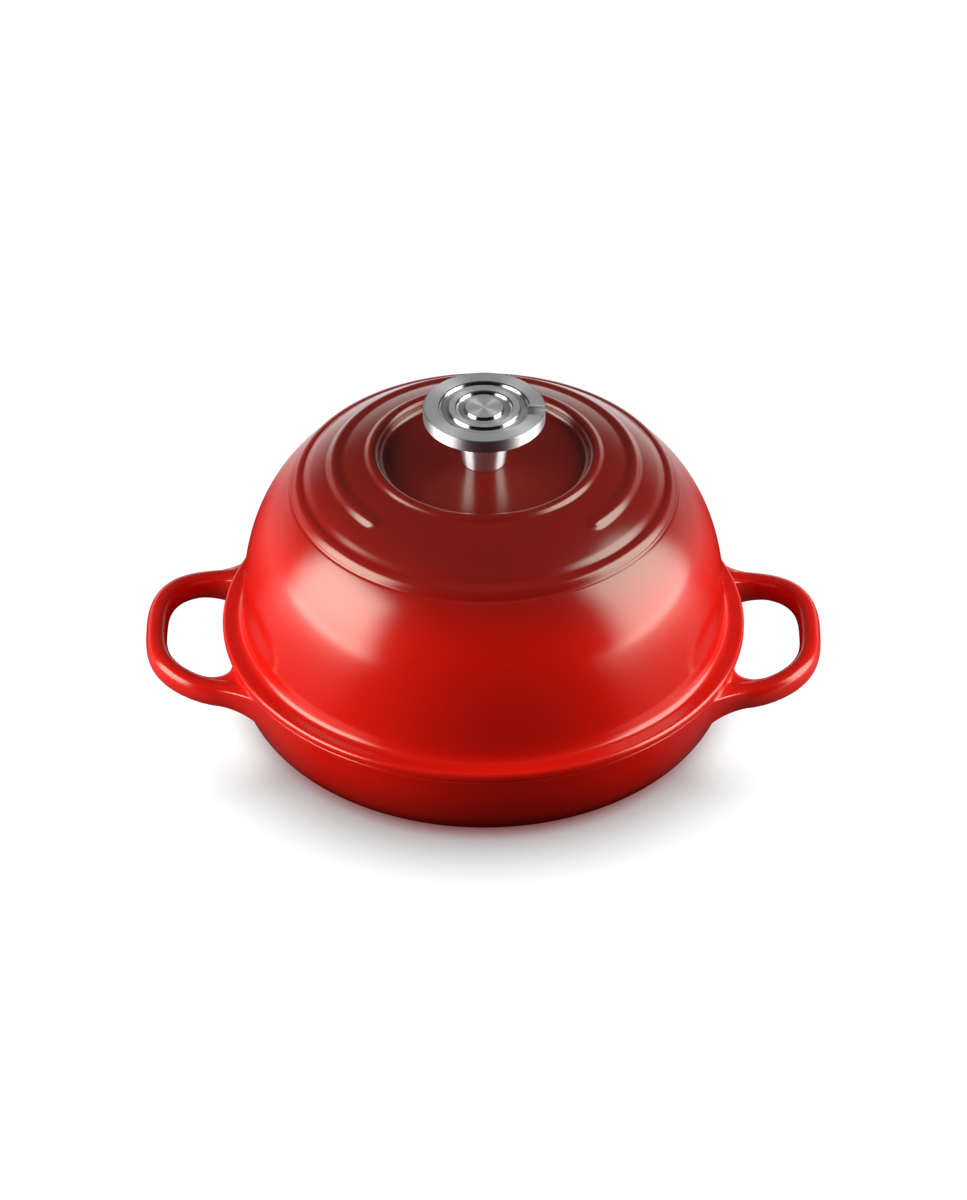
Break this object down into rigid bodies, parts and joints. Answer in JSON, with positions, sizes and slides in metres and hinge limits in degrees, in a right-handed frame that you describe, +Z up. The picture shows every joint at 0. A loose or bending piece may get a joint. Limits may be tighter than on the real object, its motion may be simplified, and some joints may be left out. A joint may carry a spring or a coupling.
{
  "type": "dutch oven",
  "caption": "Round enamelled cast-iron bread oven: a shallow pan with loop handles under a tall ringed dome lid with a steel disc knob, for baking and slow cooking.",
  "frame": {"origin": "on the pan's axis, level with the foot that it stands on", "axes": "+X along the two handles, -Y towards the open front of the lid's middle ring, +Z up along the axis"},
  "size_m": [0.324, 0.25, 0.1686],
  "materials": {
    "pan_enamel": "glossy red enamel outside, satin black enamel inside",
    "lid_enamel": "glossy red enamel outside, darker on the cap, satin black enamel inside",
    "knob_brushed_steel": "circular brushed",
    "knob_turned_steel": "fine turned",
    "fastener_steel": "plain plated"
  },
  "bodies": {
    "pan": {"base_pan": "pan_enamel"},
    "lid_carrier": {"flat_washer": "fastener_steel"},
    "lid": {"dome_lid": "lid_enamel", "knob_disc": "knob_brushed_steel", "knob_stem": "knob_turned_steel", "knob_bush": "knob_turned_steel", "knob_screw": "fastener_steel", "lock_washer": "fastener_steel"}
  },
  "joints": [
    {"name": "lid_lift", "type": "slide", "parent": "pan", "child": "lid_carrier", "axis": [0, 0, 1], "range_m": [0, 0.15]},
    {"name": "lid_turn", "type": "hinge", "parent": "lid_carrier", "child": "lid", "pos_m": [0, 0, 0.043], "axis": [0, 0, 1], "continuous": true}
  ]
}
